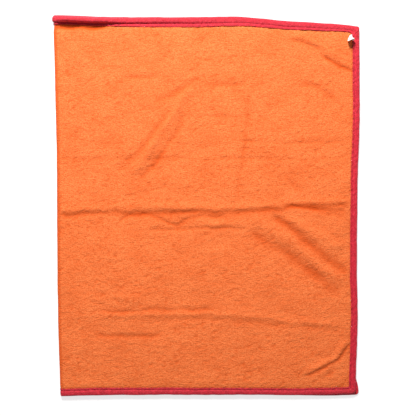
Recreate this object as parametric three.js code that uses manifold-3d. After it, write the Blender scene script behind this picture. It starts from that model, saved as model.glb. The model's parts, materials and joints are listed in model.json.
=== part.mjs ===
// A quick dry towel: one sheet of terry cloth, bound on its edges with folded tape, folded once and laid flat.
// Millimetres, +Z up, origin at the centre of the underside. The fold runs along Y on the -X side and the open ends
// lie on the +X side. The upper half turns about the fold line to open the towel out flat.
import * as THREE from "three";
import { mergeVertices } from "three/addons/utils/BufferGeometryUtils.js";
import Module from "manifold-3d";

const wasm = await Module();
wasm.setup();

// ---- Driving dimensions ----

// The sheet
const towelLength = 1200; // cut length, along X when it is opened
const towelWidth = 750; // cut width, along Y
const pileThickness = 4.6; // terry cloth, loop tip to loop tip
const rimThickness = 1.6; // the same cloth pressed flat inside the tape
const misfold = 3; // how much further the lower half reaches than the upper one
const layerGap = 0.3; // between the two halves

// The binding: a tape folded over the cloth's edge
const bindingWidth = 14; // outer edge to the tape's own edge
const tapeThickness = 1.2;
const cornerRadius = 12; // of the towel's corners, at the outer edge
const innerCornerRadius = 3; // of the tape's inner edge

// The seam that holds the tape: needle thread on the outer face, looper thread on the inner face
const seamInset = 10.5; // outer edge to the middle of the seam
const threadWidth = 0.8;
const threadHeight = 0.4;
const threadDepth = 0.1; // how far the thread lies below the tape's face

// The care label, a ribbon whose root is caught under the tape
const labelWidth = 12;
const labelLength = 19;
const labelThickness = 0.5; // two plies
const labelPastCorner = 1; // end of the tape's inner corner to the side of the label
const labelRootDepth = 5; // how far it reaches under the tape
const labelLift = 38; // degrees above the cloth at its root
const labelCurl = 26; // degrees that it bends back down along its length
const labelRootAboveCloth = 0.1;
const labelHingeAboveCloth = 0.7;

const fitGap = 0.3; // clearance between pieces that touch
const arcSegments = 8; // per quarter turn of an outline
const noseSegments = 4; // per quarter turn of the tape's outer edge
const foldSegments = 48; // per full turn of the fold
const labelSegments = 10; // along the label
const overshoot = 1; // how far a cut runs on past what it cuts

// ---- Worked out from them ----

const bindingThickness = rimThickness + 2 * (fitGap + tapeThickness);
const layerThickness = Math.max(pileThickness, bindingThickness);
const pivotZ = layerThickness + layerGap / 2;
const foldRadius = layerThickness + layerGap / 2; // outside of the fold
const neutralRadius = (layerThickness + layerGap) / 2;
const halfLength = towelLength / 2 - (Math.PI / 2) * neutralRadius; // fold line to open end, without the bend
const lowerReach = halfLength + misfold / 2;
const upperReach = halfLength - misfold / 2;
const foldX = (foldRadius - lowerReach) / 2;
const farY = towelWidth / 2;
const noseRadius = bindingThickness / 2 - fitGap; // rounding of the tape's outer edge
const grooveWidth = threadWidth + 2 * fitGap;
const grooveDepth = threadDepth + threadHeight + fitGap;

const halves = [
  { name: "lower", endX: foldX + lowerReach, middleZ: layerThickness / 2, outward: -1 },
  { name: "upper", endX: foldX + upperReach, middleZ: layerThickness * 1.5 + layerGap, outward: 1 },
];
const upper = halves[1];

// ---- Materials ----

const materials = {
  terry: new THREE.MeshStandardMaterial({ name: "terry", color: 0xf5853f, roughness: 1, metalness: 0 }),
  tape: new THREE.MeshStandardMaterial({ name: "tape", color: 0xe23a50, roughness: 0.85, metalness: 0 }),
  thread: new THREE.MeshStandardMaterial({ name: "thread", color: 0xc4283e, roughness: 0.6, metalness: 0 }),
  label: new THREE.MeshStandardMaterial({ name: "label", color: 0xf6f5f2, roughness: 0.5, metalness: 0 }),
};

// ---- Solids ----

// A closed geometry as a solid that can be joined and cut.
function solid(geometry) {
  const bare = geometry.index ? geometry.toNonIndexed() : geometry.clone();
  bare.deleteAttribute("normal");
  bare.deleteAttribute("uv");
  const merged = mergeVertices(bare, 1e-4);
  return new wasm.Manifold(
    new wasm.Mesh({
      numProp: 3,
      vertProperties: new Float32Array(merged.attributes.position.array),
      triVerts: new Uint32Array(merged.index.array),
    }),
  );
}

// Such a solid as a named mesh.
function meshOf(name, made, material) {
  const { numProp, numVert, vertProperties, triVerts } = made.getMesh();
  const position = new Float32Array(numVert * 3);
  for (let i = 0; i < numVert; i++) {
    position.set(vertProperties.subarray(i * numProp, i * numProp + 3), i * 3);
  }
  const geometry = new THREE.BufferGeometry();
  geometry.setAttribute("position", new THREE.BufferAttribute(position, 3));
  geometry.setIndex(new THREE.BufferAttribute(new Uint32Array(triVerts), 1));
  geometry.computeVertexNormals();
  const mesh = new THREE.Mesh(geometry, material);
  mesh.name = name;
  return mesh;
}

function box(lowX, highX, lowY, highY, lowZ, highZ) {
  const geometry = new THREE.BoxGeometry(highX - lowX, highY - lowY, highZ - lowZ);
  geometry.translate((lowX + highX) / 2, (lowY + highY) / 2, (lowZ + highZ) / 2);
  return solid(geometry);
}

// A flat plate of a shape in XY, from lowZ up.
function plate(shape, lowZ, thickness) {
  const geometry = new THREE.ExtrudeGeometry(shape, {
    depth: thickness,
    bevelEnabled: false,
    curveSegments: arcSegments,
  });
  geometry.translate(0, 0, lowZ);
  return solid(geometry);
}

// The outline of one half, taken in from its bound edges by inset. It runs on past the fold line, to be cut there.
function outline(half, inset) {
  const radius = Math.max(cornerRadius - inset, innerCornerRadius);
  const startX = foldX - foldRadius;
  const endX = half.endX - inset;
  const y = farY - inset;
  const shape = new THREE.Shape();
  shape.moveTo(startX, -y);
  shape.lineTo(endX - radius, -y);
  shape.absarc(endX - radius, -y + radius, radius, -Math.PI / 2, 0, false);
  shape.lineTo(endX, y - radius);
  shape.absarc(endX - radius, y - radius, radius, 0, Math.PI / 2, false);
  shape.lineTo(startX, y);
  shape.closePath();
  return shape;
}

// What lies on a half's own side of the fold line.
function beyondFold(half) {
  const y = farY + overshoot;
  return box(foldX + fitGap / 2, half.endX + overshoot, -y, y, -overshoot, 2 * pivotZ + overshoot);
}

// ---- Terry cloth ----

// The part of the cloth between the tapes, and the pressed rim inside them.
const clothInset = bindingWidth + fitGap;
const rimInset = tapeThickness + fitGap;

function terryHalf(half) {
  const body = plate(outline(half, clothInset), half.middleZ - pileThickness / 2, pileThickness);
  const rim = plate(outline(half, rimInset), half.middleZ - rimThickness / 2, rimThickness);
  return body.add(rim).intersect(beyondFold(half));
}

// ---- Binding ----

// The tape round all three bound edges of a half, with a rounded outer edge, the slot that holds the rim, and a
// groove in each face for the seam.
function tapeRing(half) {
  const nose = new THREE.ExtrudeGeometry(outline(half, 0), {
    depth: bindingThickness - 2 * noseRadius,
    bevelEnabled: true,
    bevelThickness: noseRadius,
    bevelSize: noseRadius,
    bevelOffset: -noseRadius,
    bevelSegments: noseSegments,
    curveSegments: arcSegments,
  });
  nose.translate(0, 0, half.middleZ - bindingThickness / 2 + noseRadius);
  const slotHeight = rimThickness + 2 * fitGap;
  const slot = plate(outline(half, tapeThickness), half.middleZ - slotHeight / 2, slotHeight);
  const window = plate(outline(half, bindingWidth), half.middleZ - bindingThickness, 2 * bindingThickness);
  return solid(nose)
    .subtract(slot)
    .subtract(window)
    .subtract(seamBand(half, 1, grooveWidth, -overshoot, grooveDepth))
    .subtract(seamBand(half, -1, grooveWidth, -overshoot, grooveDepth))
    .intersect(beyondFold(half));
}

// A band along the seam, between two depths below the tape's face. side is 1 for the upper face and -1 for the
// lower one.
function seamBand(half, side, width, shallow, deep) {
  const face = half.middleZ + (side * bindingThickness) / 2;
  const lowZ = Math.min(face - side * shallow, face - side * deep);
  const height = deep - shallow;
  const outside = plate(outline(half, seamInset - width / 2), lowZ, height);
  const inside = plate(outline(half, seamInset + width / 2), lowZ - overshoot, height + 2 * overshoot);
  return outside.subtract(inside);
}

function threadRing(half, side) {
  return seamBand(half, side, threadWidth, threadDepth, threadDepth + threadHeight).intersect(beyondFold(half));
}

// The three strips meet at mitres on the corners' diagonals. Each sector holds one strip, short of the mitre by
// half the gap.
function sector(half, strip) {
  const deep = bindingWidth + innerCornerRadius + overshoot;
  const offset = fitGap / Math.SQRT2;
  const startX = foldX - foldRadius;
  const corners =
    strip === "end"
      ? [
          [half.endX - deep + offset, farY - deep],
          [half.endX - deep + offset, deep - farY],
          [half.endX + overshoot + offset, -farY - overshoot],
          [half.endX + overshoot + offset, farY + overshoot],
        ]
      : [
          [startX, farY - deep],
          [half.endX - deep - offset, farY - deep],
          [half.endX + overshoot - offset, farY + overshoot],
          [startX, farY + overshoot],
        ];
  const side = strip === "near" ? -1 : 1;
  const points = corners.map(([x, y]) => new THREE.Vector2(x, side * y));
  return plate(new THREE.Shape(points), -overshoot, 2 * (pivotZ + overshoot));
}

// ---- The fold ----

// A section turned round the fold line, on the fold's own side of it. points are [radius, y], once round.
function turned(points) {
  const profile = [...points, points[0]].map(([r, y]) => new THREE.Vector2(r, y));
  const geometry = new THREE.LatheGeometry(profile, foldSegments);
  geometry.translate(foldX, 0, pivotZ);
  const x = foldX - foldRadius - overshoot;
  const y = farY + overshoot;
  const foldSide = box(x, foldX - fitGap / 2, -y, y, -overshoot, 2 * pivotZ + overshoot);
  return solid(geometry).intersect(foldSide);
}

function ringSection(middle, thickness, lowY, highY) {
  const low = middle - thickness / 2;
  const high = middle + thickness / 2;
  return [
    [low, highY],
    [low, lowY],
    [high, lowY],
    [high, highY],
  ];
}

function terryFold() {
  const body = turned(ringSection(neutralRadius, pileThickness, clothInset - farY, farY - clothInset));
  const rim = turned(ringSection(neutralRadius, rimThickness, rimInset - farY, farY - rimInset));
  return body.add(rim);
}

// The tape's section with its rounded outer edge, at the far edge.
function noseSection() {
  const low = neutralRadius - bindingThickness / 2;
  const high = neutralRadius + bindingThickness / 2;
  const outer = [];
  const inner = [];
  for (let i = 0; i <= noseSegments; i++) {
    const angle = ((Math.PI / 2) * i) / noseSegments;
    const taken = noseRadius * (1 - Math.cos(angle));
    const y = farY - noseRadius * (1 - Math.sin(angle));
    outer.push([high - taken, y]);
    inner.push([low + taken, y]);
  }
  return [[low, farY - bindingWidth], [high, farY - bindingWidth], ...outer, ...inner.reverse()];
}

function seamRing(width, lowDepth, highDepth) {
  const face = neutralRadius + bindingThickness / 2;
  const seamY = farY - seamInset;
  const middle = face - (lowDepth + highDepth) / 2;
  return turned(ringSection(middle, highDepth - lowDepth, seamY - width / 2, seamY + width / 2));
}

function bindingFold() {
  const slotHeight = rimThickness + 2 * fitGap;
  const slotLowY = farY - bindingWidth - overshoot;
  const slot = turned(ringSection(neutralRadius, slotHeight, slotLowY, farY - tapeThickness));
  return turned(noseSection()).subtract(slot).subtract(seamRing(grooveWidth, -overshoot, grooveDepth));
}

const mirrorY = new THREE.Matrix4().makeScale(1, -1, 1);

// The same solid at the near edge.
function atNearEdge(made) {
  return made.transform(mirrorY.elements);
}

// ---- The care label ----

const labelY = farY - bindingWidth - innerCornerRadius - labelPastCorner - labelWidth / 2;
const tapeEdgeX = upper.endX - bindingWidth;
const clothTop = upper.middleZ + pileThickness / 2;
const rimTop = upper.middleZ + rimThickness / 2;
const riserX = tapeEdgeX - fitGap - labelThickness; // low side of the root's riser
const hinge = { x: riserX + labelThickness / 2, z: clothTop + labelHingeAboveCloth };

// A ribbon that follows a section in XZ.
function ribbon(points) {
  const shape = new THREE.Shape(points.map(([x, z]) => new THREE.Vector2(x, z)));
  const geometry = new THREE.ExtrudeGeometry(shape, { depth: labelWidth, bevelEnabled: false });
  geometry.rotateX(Math.PI / 2);
  geometry.translate(0, labelY + labelWidth / 2, 0);
  return solid(geometry);
}

// The root lies under the tape and turns up beside the tape's edge.
function labelRoot() {
  const bottom = rimTop - labelThickness;
  const top = clothTop + labelRootAboveCloth;
  const inX = tapeEdgeX + labelRootDepth;
  return ribbon([
    [riserX, bottom],
    [inX, bottom],
    [inX, rimTop],
    [riserX + labelThickness, rimTop],
    [riserX + labelThickness, top],
    [riserX, top],
  ]);
}

// The pocket in the cloth that the root lies in.
function labelPocket() {
  const side = labelWidth / 2 + fitGap;
  const low = rimTop - labelThickness - fitGap;
  const inX = tapeEdgeX + labelRootDepth + fitGap;
  return box(riserX - fitGap, inX, labelY - side, labelY + side, low, clothTop + overshoot);
}

// The flap leaves its root upward and inward, and bends back down.
function labelFlap() {
  const start = labelThickness / 2 + fitGap / 2; // hinge line to the flap
  const across = labelThickness / 2;
  const lower = [];
  const higher = [];
  let x = hinge.x;
  let z = hinge.z;
  const stepLength = (labelLength - start) / labelSegments;
  for (let i = 0; i <= labelSegments; i++) {
    const angle = THREE.MathUtils.degToRad(labelLift - (labelCurl * i) / labelSegments);
    const along = i === 0 ? start : stepLength;
    x -= Math.cos(angle) * along;
    z += Math.sin(angle) * along;
    lower.push([x - Math.sin(angle) * across, z - Math.cos(angle) * across]);
    higher.push([x + Math.sin(angle) * across, z + Math.cos(angle) * across]);
  }
  return ribbon([...higher, ...lower.reverse()]);
}

// ---- Assembly ----

const towel = new THREE.Group();
towel.name = "quick_dry_towel";

for (const half of halves) {
  const group = new THREE.Group();
  group.name = `${half.name}_half`;
  const pocket = half === upper ? labelPocket() : null;
  const cloth = pocket ? terryHalf(half).subtract(pocket) : terryHalf(half);
  group.add(meshOf(`terry_${half.name}_half`, cloth, materials.terry));
  const tape = tapeRing(half);
  const needle = threadRing(half, half.outward);
  const looper = threadRing(half, -half.outward);
  for (const strip of ["far", "near", "end"]) {
    const place = sector(half, strip);
    group.add(meshOf(`binding_${strip}_${half.name}`, tape.intersect(place), materials.tape));
    group.add(meshOf(`needle_thread_${strip}_${half.name}`, needle.intersect(place), materials.thread));
    group.add(meshOf(`looper_thread_${strip}_${half.name}`, looper.intersect(place), materials.thread));
  }
  towel.add(group);
}

const foldGroup = new THREE.Group();
foldGroup.name = "fold";
foldGroup.add(meshOf("terry_fold", terryFold(), materials.terry));
const foldTape = bindingFold();
const foldThread = seamRing(threadWidth, threadDepth, threadDepth + threadHeight);
foldGroup.add(meshOf("binding_far_fold", foldTape, materials.tape));
foldGroup.add(meshOf("binding_near_fold", atNearEdge(foldTape), materials.tape));
foldGroup.add(meshOf("needle_thread_far_fold", foldThread, materials.thread));
foldGroup.add(meshOf("needle_thread_near_fold", atNearEdge(foldThread), materials.thread));
towel.add(foldGroup);

const labelGroup = new THREE.Group();
labelGroup.name = "care_label";
labelGroup.add(meshOf("care_label_root", labelRoot(), materials.label));
labelGroup.add(meshOf("care_label_flap", labelFlap(), materials.label));
towel.add(labelGroup);

export default towel;
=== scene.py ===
"""A quick dry towel, folded once and laid flat: terry cloth, binding tape, seam threads and a care label.

Every piece is laid out in cloth coordinates. s runs along the cloth from the fold: positive on the upper
half, and negative round the fold and on the lower half. y runs across it, and h is the height over the
middle of the cloth towards its outward face. place() turns these into positions for all pieces alike, so
what is sewn together stays together. Lengths are in metres, unless a comment says millimetres.
"""
import json
import math
from types import SimpleNamespace

import bpy
import numpy as np
from mathutils import Euler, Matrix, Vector


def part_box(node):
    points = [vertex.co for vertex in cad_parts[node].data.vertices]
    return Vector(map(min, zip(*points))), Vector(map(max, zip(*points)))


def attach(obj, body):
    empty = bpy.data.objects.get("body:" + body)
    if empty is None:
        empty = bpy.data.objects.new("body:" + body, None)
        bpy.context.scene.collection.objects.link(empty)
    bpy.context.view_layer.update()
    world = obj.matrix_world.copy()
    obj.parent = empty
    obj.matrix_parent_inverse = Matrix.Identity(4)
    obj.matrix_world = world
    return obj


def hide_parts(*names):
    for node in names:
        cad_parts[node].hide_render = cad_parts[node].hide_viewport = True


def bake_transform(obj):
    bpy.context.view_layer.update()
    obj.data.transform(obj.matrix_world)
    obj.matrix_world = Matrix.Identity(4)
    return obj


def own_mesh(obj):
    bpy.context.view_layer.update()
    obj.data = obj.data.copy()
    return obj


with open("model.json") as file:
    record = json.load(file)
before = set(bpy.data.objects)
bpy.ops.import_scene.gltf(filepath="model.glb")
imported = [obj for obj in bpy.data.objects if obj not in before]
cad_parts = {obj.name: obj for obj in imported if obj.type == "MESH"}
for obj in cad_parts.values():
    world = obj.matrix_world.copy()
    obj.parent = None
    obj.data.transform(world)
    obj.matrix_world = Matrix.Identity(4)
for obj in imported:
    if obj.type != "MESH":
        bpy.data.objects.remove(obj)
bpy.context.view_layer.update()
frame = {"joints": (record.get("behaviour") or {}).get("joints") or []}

MM = 0.001

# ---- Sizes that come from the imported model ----

joints = {joint["name"]: joint for joint in frame["joints"]}
BEND_X, _, BEND_Z = joints["fold_hinge"]["pos_m"]
LABEL_X, LABEL_Y, LABEL_Z = joints["label_bend"]["pos_m"]
FAR_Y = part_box("binding_far_fold")[1].y
TAPE_WIDTH = FAR_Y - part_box("binding_far_fold")[0].y


def half_of_towel(name):
    """One half of the folded towel: where it ends, its middle height, and half its thickness."""
    low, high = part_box(f"terry_{name}_half")
    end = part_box(f"binding_end_{name}")[1].x
    return SimpleNamespace(
        name=name,
        body=f"{name}_half",
        end=end,
        middle=(low.z + high.z) / 2,
        pile=(high.z - low.z) / 2,
    )


LOWER = half_of_towel("lower")
UPPER = half_of_towel("upper")
PILE = UPPER.pile
BEND_RADIUS = UPPER.middle - BEND_Z  # of the middle of the cloth
BEND_LENGTH = math.pi * BEND_RADIUS
TOP_Z = UPPER.middle + PILE

# ---- Sizes of the soft shapes ----

RIM = 0.8 * MM  # half the thickness of the cloth pressed inside the tape
SLIP = 0.1 * MM  # between pieces that touch
TAPE_PLY = 1.2 * MM
CORNER_RADIUS = {"far": 4 * MM, "near": 6.5 * MM}
INNER_RADIUS = {"far": 8 * MM, "near": 2.5 * MM}  # of the tape's own edge at the corners
END_TAPE = 14 * MM  # width of the tape along the two ends
HOLLOW_REACH = 80 * MM  # how far from the fold its hollow has an effect
STITCH = 3.6 * MM

# ---- Seeds of the random fields; fields that belong together use the numbers that follow ----

EDGE_SEED = 11
CREASE_SEED = 21
WAVE_SEED = 31
OUTWARD_PILE_SEED = 41
INWARD_PILE_SEED = 51
TAPE_SEED = {"far": 61, "near": 71, "end": 81}
INWARD_TAPE = 5  # added to a tape's seed for its inward face


# ---- Smooth functions of arrays ----


def ease(t):
    """Smooth step from 0 to 1."""
    t = np.clip(t, 0, 1)
    return t * t * (3 - 2 * t)


def fade(value, start, stop):
    """Smooth step from 0 where a value is at start to 1 where it is at stop."""
    return ease((value - start) / (stop - start))


def bell(distance, half_width):
    """1 at no distance, falling off to both sides."""
    return np.exp(-((distance / half_width) ** 2))


def through(points):
    """A smooth function through a few (place, value) points, level beyond its ends."""
    at, value = (np.array(column, float) for column in zip(*sorted(points)))
    slope = np.gradient(value, at)
    slope[0] = slope[-1] = 0

    def curve(x):
        x = np.clip(x, at[0], at[-1])
        i = np.clip(np.searchsorted(at, x, side="right") - 1, 0, len(at) - 2)
        span = at[i + 1] - at[i]
        t = (x - at[i]) / span
        rise = value[i + 1] - value[i]
        bend = (slope[i] * span - rise) * (1 - t) - (slope[i + 1] * span - rise) * t
        return value[i] + rise * t + t * (1 - t) * bend

    return curve


LATTICE_START = (7.3, 3.1)  # where the origin falls between the lattice's points


def lumps(x, y, size_x, size_y, seed, cells=128):
    """A smooth random field from about -1 to 1, with lumps of that size. It repeats after that many cells."""
    lattice = np.random.default_rng(seed).uniform(-1, 1, (cells, cells))
    u = np.asarray(x) / size_x + LATTICE_START[0]
    v = np.asarray(y) / size_y + LATTICE_START[1]
    i = np.floor(u).astype(int)
    j = np.floor(v).astype(int)
    across = ease(u - i)
    low = lattice[i % cells, j % cells] * (1 - across) + lattice[(i + 1) % cells, j % cells] * across
    j_next = (j + 1) % cells
    high = lattice[i % cells, j_next] * (1 - across) + lattice[(i + 1) % cells, j_next] * across
    up = ease(v - j)
    return low * (1 - up) + high * up


# ---- How the edges lie: all in millimetres ----

# How far each edge lies off its ideal line, towards +y or +x, at places along it
far_edge = through(
    [(-296, 4.7), (-217, 1.6), (-94, -0.2), (-20, -0.6), (76, -0.8)]
    + [(115, -4.6), (154, -8.4), (213, -12), (272, -17), (296, -20)]
)
near_edge = through([(-296, -4), (-268, -3.4), (-187, -2.6), (60, -3), (284, -2.2), (296, -1.6)])
upper_end = through(
    [(375, 1.4), (150, 2.7), (78, 0.6), (30, 0.2), (-137, -0.2), (-185, 1.2), (-283, 0.6), (-375, -1.4)]
)
fold_tuck = through(
    [(375, 0.9), (290, 1.4), (194, 2.8), (0, 2), (-140, 0.2), (-260, 0.2), (-375, 2)]
)

# How the lower layer differs from the upper
LOWER_FAR = -2.0
LOWER_END = -4.2
LOWER_CORNER = 8.0  # its near corner reaches out from under the upper layer
lower_near = through([(120, 0.8), (200, -2.4), (296, -4.2)])

# The distances from the middle between which an edge's line comes to move the cloth
FAR_SPAN = (110, 375)
NEAR_SPAN = (215, 375)
CORNER_SPAN = (325, 370)


def spread(layer, x, y):
    """Shifts points of a layer in its plane, so that the edges run as those of cloth laid by hand do."""
    at_x = x / MM
    at_y = y / MM
    across = np.clip((x - BEND_X) / (layer.end - BEND_X), 0, None)
    off_fold = ease(across * 8)
    wander = 0.6 * lumps(x, y, 60 * MM, 45 * MM, EDGE_SEED)
    wander = wander + 0.35 * lumps(x, y, 13 * MM, 11 * MM, EDGE_SEED + 1)
    far = far_edge(at_x)
    near = near_edge(at_x)
    end = upper_end(at_y)
    if layer is LOWER:
        far = far + LOWER_FAR * off_fold
        near = near + lower_near(at_x) * off_fold
        end = end + LOWER_END + LOWER_CORNER * fade(-at_y, *CORNER_SPAN)
    tuck = fold_tuck(at_y) * np.clip(1 - across, 0, 1) ** 4
    dx = end * across**2 + tuck + wander * off_fold
    dy = far * fade(at_y, *FAR_SPAN) + near * fade(-at_y, *NEAR_SPAN) + wander * off_fold
    return x + dx * MM, y + dy * MM


def ideal_x(s):
    """The ideal x of a place along the cloth, which stands still round the fold."""
    return BEND_X + np.where(s >= 0, s, np.clip(-s - BEND_LENGTH, 0, None))


def place(s, y, h):
    """From cloth coordinates to space. The fold's hollow keeps to the hinge, so that it opens flat."""
    s, y, h = np.broadcast_arrays(s, y, h)
    x = ideal_x(s)
    turn = np.clip(-s / BEND_RADIUS, 0, math.pi)
    upper_x, upper_y = spread(UPPER, x, y)
    lower_x, lower_y = spread(LOWER, x, y)
    below = s <= -BEND_LENGTH
    shift = np.where(below, lower_x, upper_x) - x
    inside = np.clip((PILE - h) / (PILE + BEND_RADIUS), 0, 1)
    hollow = inside * ease(1 - (x - BEND_X) / HOLLOW_REACH)
    px = x + shift * (1 - hollow) - (BEND_RADIUS + h) * np.sin(turn)
    pz = BEND_Z + (BEND_RADIUS + h) * np.cos(turn)
    return np.stack([px, np.where(below, lower_y, upper_y), pz], -1)


def along_cloth(layer, x):
    """The s of an ideal x on a layer."""
    return x - BEND_X if layer is UPPER else -BEND_LENGTH - (x - BEND_X)


# ---- How the tape lies round a layer: millimetres, at places along it in millimetres ----

far_width = through([(-296, 18), (-94, 19), (25, 19.6), (180, 16.6), (250, 15), (296, 14)])
near_width = through([(-296, 15.5), (-150, 15.2), (296, 14)])

# The seam's place across the tape, as a share of its width
EVEN_SEAM = 0.71
far_seam = through(
    [(-296, 0.79), (-200, 0.77), (-150, 0.70), (-94, 0.66), (25, 0.68), (180, 0.68), (296, EVEN_SEAM)]
)

# How far the cloth inside swells the tape's outward face: a roll by the fold's far end, little elsewhere
EVEN_PUFF = 0.7
far_puff = through(
    [(-296, 4.5), (-287, 8), (-240, 9), (-205, 8.5), (-165, 4.2)]
    + [(-94, 3), (-40, 2.2), (25, 1.4), (200, 0.9), (296, 0.6)]
)


def tape_width(strip, x):
    """How wide the tape lies: rolled out along the far edge, and as sewn along the others."""
    if strip == "end":
        return np.full(np.shape(x), END_TAPE)
    width = far_width if strip == "far" else near_width
    return width(x / MM) * MM


def seam_inset(strip, x):
    """How far the seam runs from the towel's edge. Along the far edge the roll pushes it inward."""
    share = far_seam(x / MM) if strip == "far" else EVEN_SEAM
    return tape_width(strip, x) * share


def corner_centre(layer, corner, inset):
    """Centre and radius of a corner's arc at an inset from the towel's edge, as if it lay at positive y."""
    outer = CORNER_RADIUS[corner]
    radius = outer + (INNER_RADIUS[corner] - outer) * np.clip(inset / TAPE_WIDTH, 0, 1)
    return layer.end - inset - radius, FAR_Y - inset - radius, radius


def tape_margin(layer, x, y):
    """How far inside the tape's own edge a point of the cloth lies."""

    def nearest(a, b, radius):
        rounded = radius - np.hypot(np.clip(radius - a, 0, None), np.clip(radius - b, 0, None))
        return np.where((a < radius) & (b < radius), rounded, np.minimum(a, b))

    end = layer.end - END_TAPE - x
    far = FAR_Y - tape_width("far", x) - y
    near = FAR_Y - tape_width("near", x) + y
    return np.minimum(nearest(end, far, INNER_RADIUS["far"]), nearest(end, near, INNER_RADIUS["near"]))


# ---- Relief of the cloth ----

# Creases: height (negative for a valley), half width and the line's points, all in millimetres
CREASES = [
    # the long diagonal ridge of the far left, and the valleys on both sides of it
    (2.1, 8, [(-23, 246), (-55, 204), (-88, 154), (-120, 107), (-150, 64)]),
    (-1.1, 7, [(-15, 257), (-55, 230), (-110, 208)]),
    (-1.0, 6, [(-72, 196), (-104, 150), (-142, 106), (-185, 73)]),
    (-1.2, 6, [(-44, 186), (-66, 142), (-98, 98), (-138, 55)]),
    # level marks and an upright crease above the middle
    (-0.8, 5, [(-174, 257), (-98, 257)]),
    (-0.7, 5, [(-5, 243), (84, 243)]),
    (-0.6, 5, [(-184, 202), (-164, 202)]),
    (-0.6, 5, [(1, 180), (55, 180)]),
    (-0.5, 4, [(-270, 97), (-100, 99), (5, 97), (134, 97), (270, 96)]),
    (-0.5, 4, [(52, 132), (160, 129), (275, 130)]),
    (-0.8, 4, [(82, 232), (76, 150), (69, 91), (56, 14)]),
    # towards the far right corner
    (-1.2, 6, [(184, 253), (219, 242), (253, 214)]),
    (-1.0, 4, [(158, 341), (195, 331), (228, 317)]),
    (-2.3, 4, [(220, 312), (245, 298), (290, 276)]),
    (1.2, 8, [(170, 348), (215, 333), (262, 305)]),
    (-0.9, 5, [(271, 186), (287, 182)]),
    (-0.7, 6, [(138, 73), (168, 47), (191, 27)]),
    # the storage fold across the middle: a ridge with a valley just below it, and strands that leave it
    (1.2, 9, [(-296, -4), (-110, 1), (65, -3), (200, 6), (283, 10)]),
    (-1.5, 6, [(-296, -13), (-200, -9), (-110, -12), (-20, -7), (65, -10), (130, -4), (200, 4), (283, 2)]),
    (-0.9, 5, [(-223, -38), (-203, -18)]),
    (-1.3, 4, [(-185, -30), (-160, -17), (-130, -12), (-95, -22), (-52, -38)]),
    (-1.1, 4, [(-66, -38), (-40, -24), (-10, -17), (45, -17)]),
    (-1.2, 4, [(150, 8), (190, -2), (240, -4), (280, -12)]),
    (-1.0, 4, [(-120, -42), (78, -42)]),
    (0.8, 5, [(-15, -32), (78, -32)]),
    # soft folds that run down to the right
    (-1.5, 10, [(84, -44), (114, -68), (144, -84), (174, -104), (203, -128), (233, -151), (262, -176)]),
    (-1.5, 9, [(128, -16), (160, -34), (193, -64), (223, -88), (253, -112), (284, -134)]),
    (-1.2, 6, [(199, 2), (235, -10), (277, -20)]),
    (-0.9, 6, [(253, -62), (275, -68)]),
    (1.7, 12, [(88, -18), (134, -48), (184, -84), (233, -124), (273, -147)]),
    (1.6, 11, [(154, -18), (193, -40), (233, -64), (273, -78)]),
    # low marks of the near half
    (-1.1, 5, [(-222, -203), (-178, -207), (-120, -205), (15, -203)]),
    (-1.1, 5, [(-228, -252), (-180, -256), (-90, -255)]),
    (0.8, 8, [(-233, -181), (-134, -181)]),
    (0.9, 6, [(-219, -215), (-154, -214), (15, -212), (124, -222), (263, -238)]),
    (-0.6, 6, [(-154, -227), (15, -222), (124, -234), (263, -250)]),
    # the sharp crease round the near right corner, and its branch
    (1.8, 7, [(281, -266), (268, -283), (258, -300), (240, -310), (216, -322), (190, -332)]),
    (-1.5, 4, [(288, -272), (275, -288), (263, -306), (244, -314), (222, -327), (193, -339)]),
    (-1.1, 4, [(256, -312), (250, -325), (244, -334), (232, -341)]),
    # a dip beside the rolled tape, whose painted shade stands for the roll's shadow on the pile
    (-3.0, 5, [(-312, 354), (-270, 352), (-228, 353), (-190, 357)]),
]


def rounded_line(points, steps=5):
    """A line through a few points with its corners smoothed out."""
    count = len(points) - 1
    fine = np.linspace(0, count, count * steps + 1)
    return np.stack([through(list(enumerate(column)))(fine) for column in zip(*points)], 1)


CREASE_WANDER = 2.4 * MM
WANDER_SIZE = 22 * MM
CREASE_FADE = 22 * MM  # length over which a crease dies out at its ends
SWELL_SIZE = 26 * MM


def crease(x, y, height, half_width, points):
    """The relief of one crease, which wanders a little, swells and thins, and dies out at both ends."""
    line = rounded_line(points) * MM
    steps = np.hypot(*np.diff(line, axis=0).T)
    passed = np.concatenate([[0], np.cumsum(steps)])
    wandered_x = x + CREASE_WANDER * lumps(x, y, WANDER_SIZE, WANDER_SIZE, CREASE_SEED)
    wandered_y = y + CREASE_WANDER * lumps(x, y, WANDER_SIZE, WANDER_SIZE, CREASE_SEED + 1)
    nearest = np.full(x.shape, 1.0)
    reached = np.zeros(x.shape)
    for start, end, length, before in zip(line, line[1:], steps, passed):
        run = (end - start) / length
        off_x = wandered_x - start[0]
        off_y = wandered_y - start[1]
        foot = np.clip(off_x * run[0] + off_y * run[1], 0, length)
        distance = np.hypot(off_x - foot * run[0], off_y - foot * run[1])
        closer = distance < nearest
        nearest = np.where(closer, distance, nearest)
        reached = np.where(closer, before + foot, reached)
    ends = ease(0.2 + reached / CREASE_FADE) * ease(0.2 + (passed[-1] - reached) / CREASE_FADE)
    swell = 1 + 0.35 * lumps(x, y, SWELL_SIZE, SWELL_SIZE, CREASE_SEED + 2)
    return height * MM * bell(nearest, half_width * MM) * ends * swell


def waves(x, y):
    """The broad waves of cloth that was folded for storage and shaken out."""
    broad = 0.9 * lumps(x, y, 120 * MM, 95 * MM, WAVE_SEED)
    return (broad + 0.5 * lumps(x, y, 48 * MM, 30 * MM, WAVE_SEED + 1)) * MM


CREASE_REACH = 60 * MM  # beyond this a crease has no effect


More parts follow.
